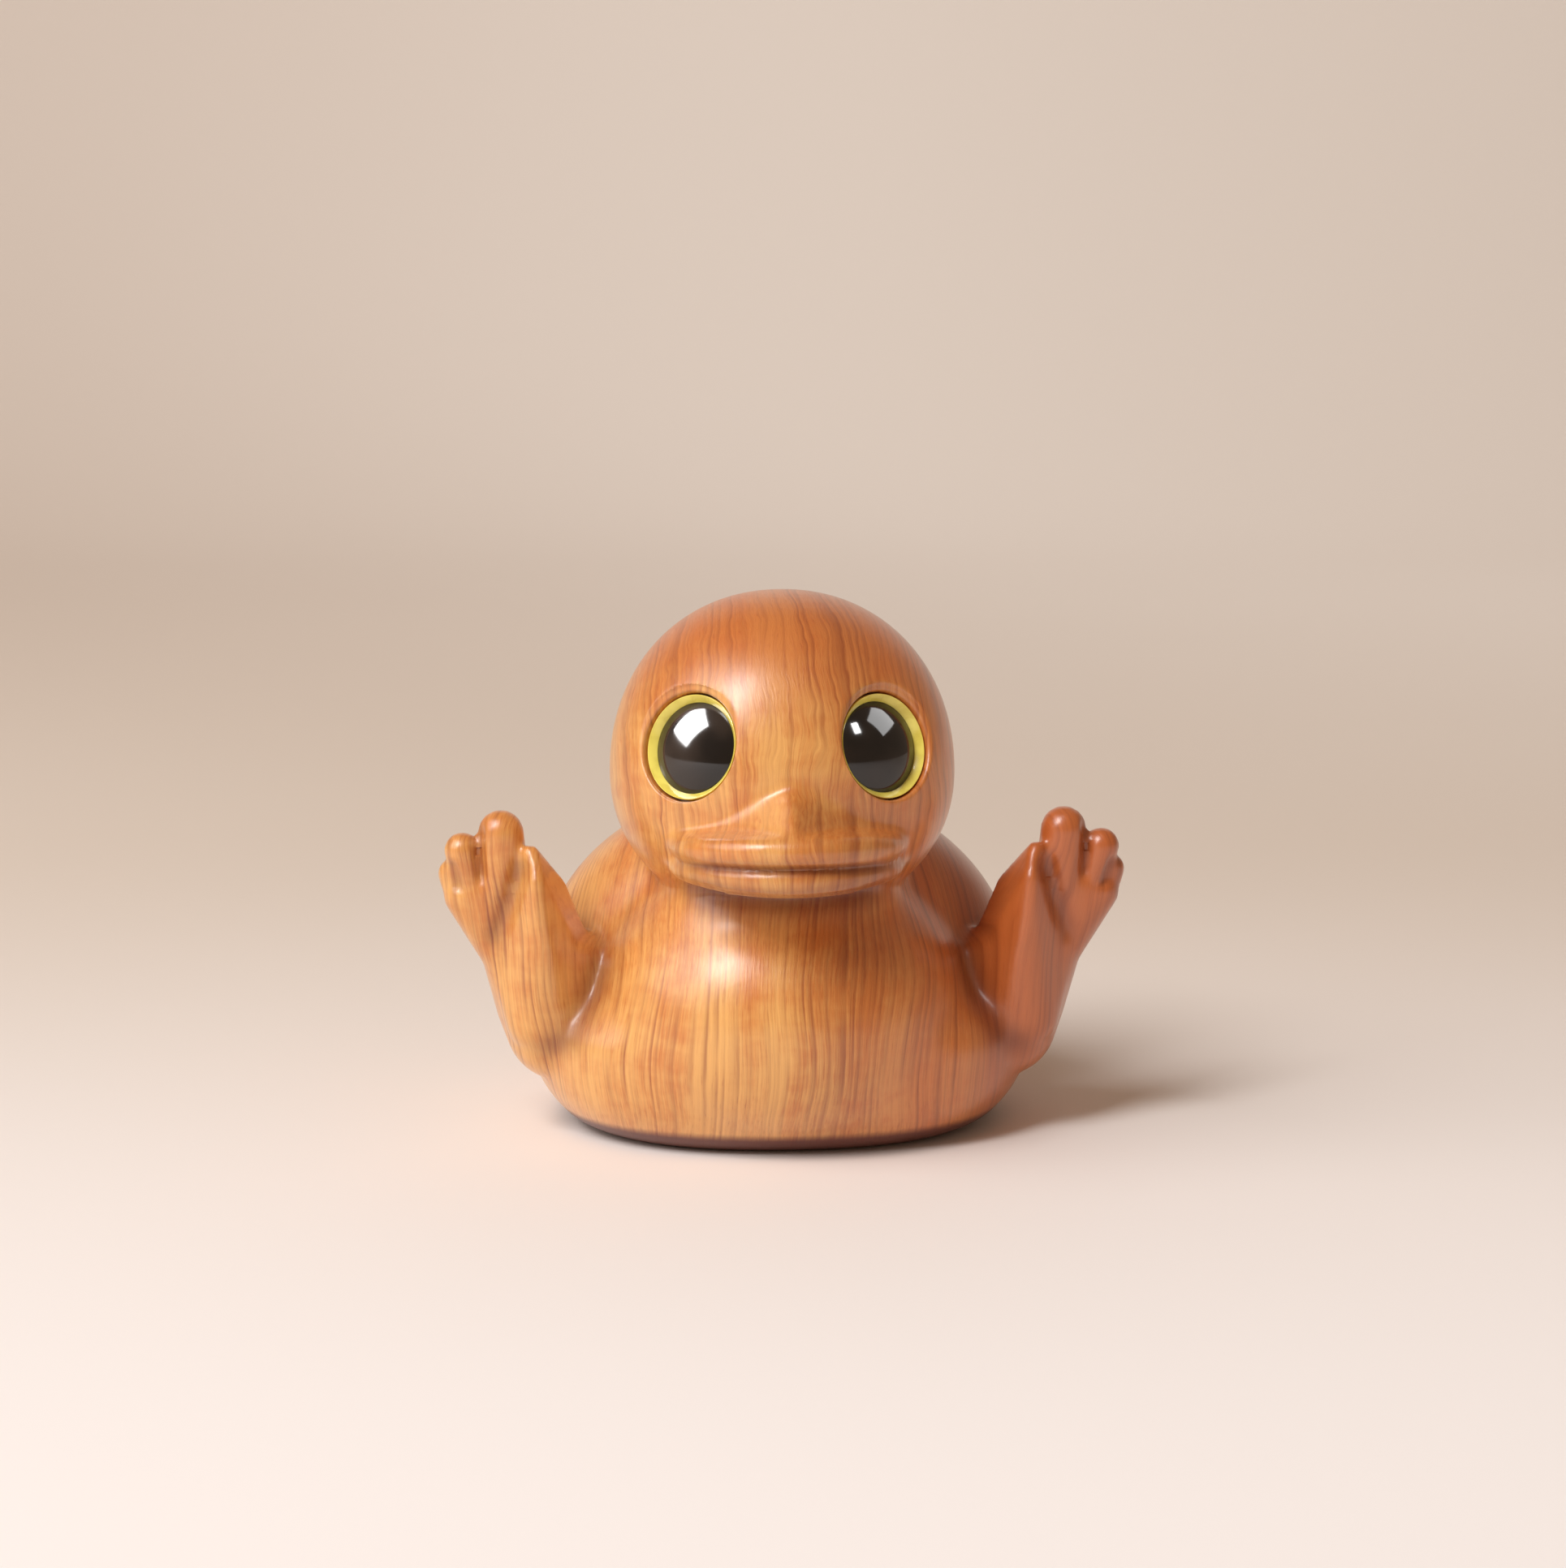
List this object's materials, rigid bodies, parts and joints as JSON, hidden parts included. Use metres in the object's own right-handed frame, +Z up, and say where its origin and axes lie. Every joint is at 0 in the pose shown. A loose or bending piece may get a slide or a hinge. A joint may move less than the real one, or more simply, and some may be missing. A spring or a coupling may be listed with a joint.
{
  "type": "wooden duck figurine",
  "caption": "Round carved wooden duck with a big head, a gabled bill, raised wings that end in stubby fingers, and round set-in eyes with a yellow rim.",
  "frame": {"origin": "centre of the bounding box's bottom face, on the flat foot", "axes": "+Z up, the duck faces -Y, and its wings spread along X"},
  "size_m": [0.0837, 0.0722, 0.0669],
  "materials": {
    "wood": "satin",
    "enamel": "gloss",
    "glass": "gloss"
  },
  "bodies": {
    "root": {"duck_body": "wood", "eye_bezel_left": "enamel", "eye_bezel_right": "enamel", "eye_glass_left": "glass", "eye_glass_right": "glass"}
  },
  "joints": []
}
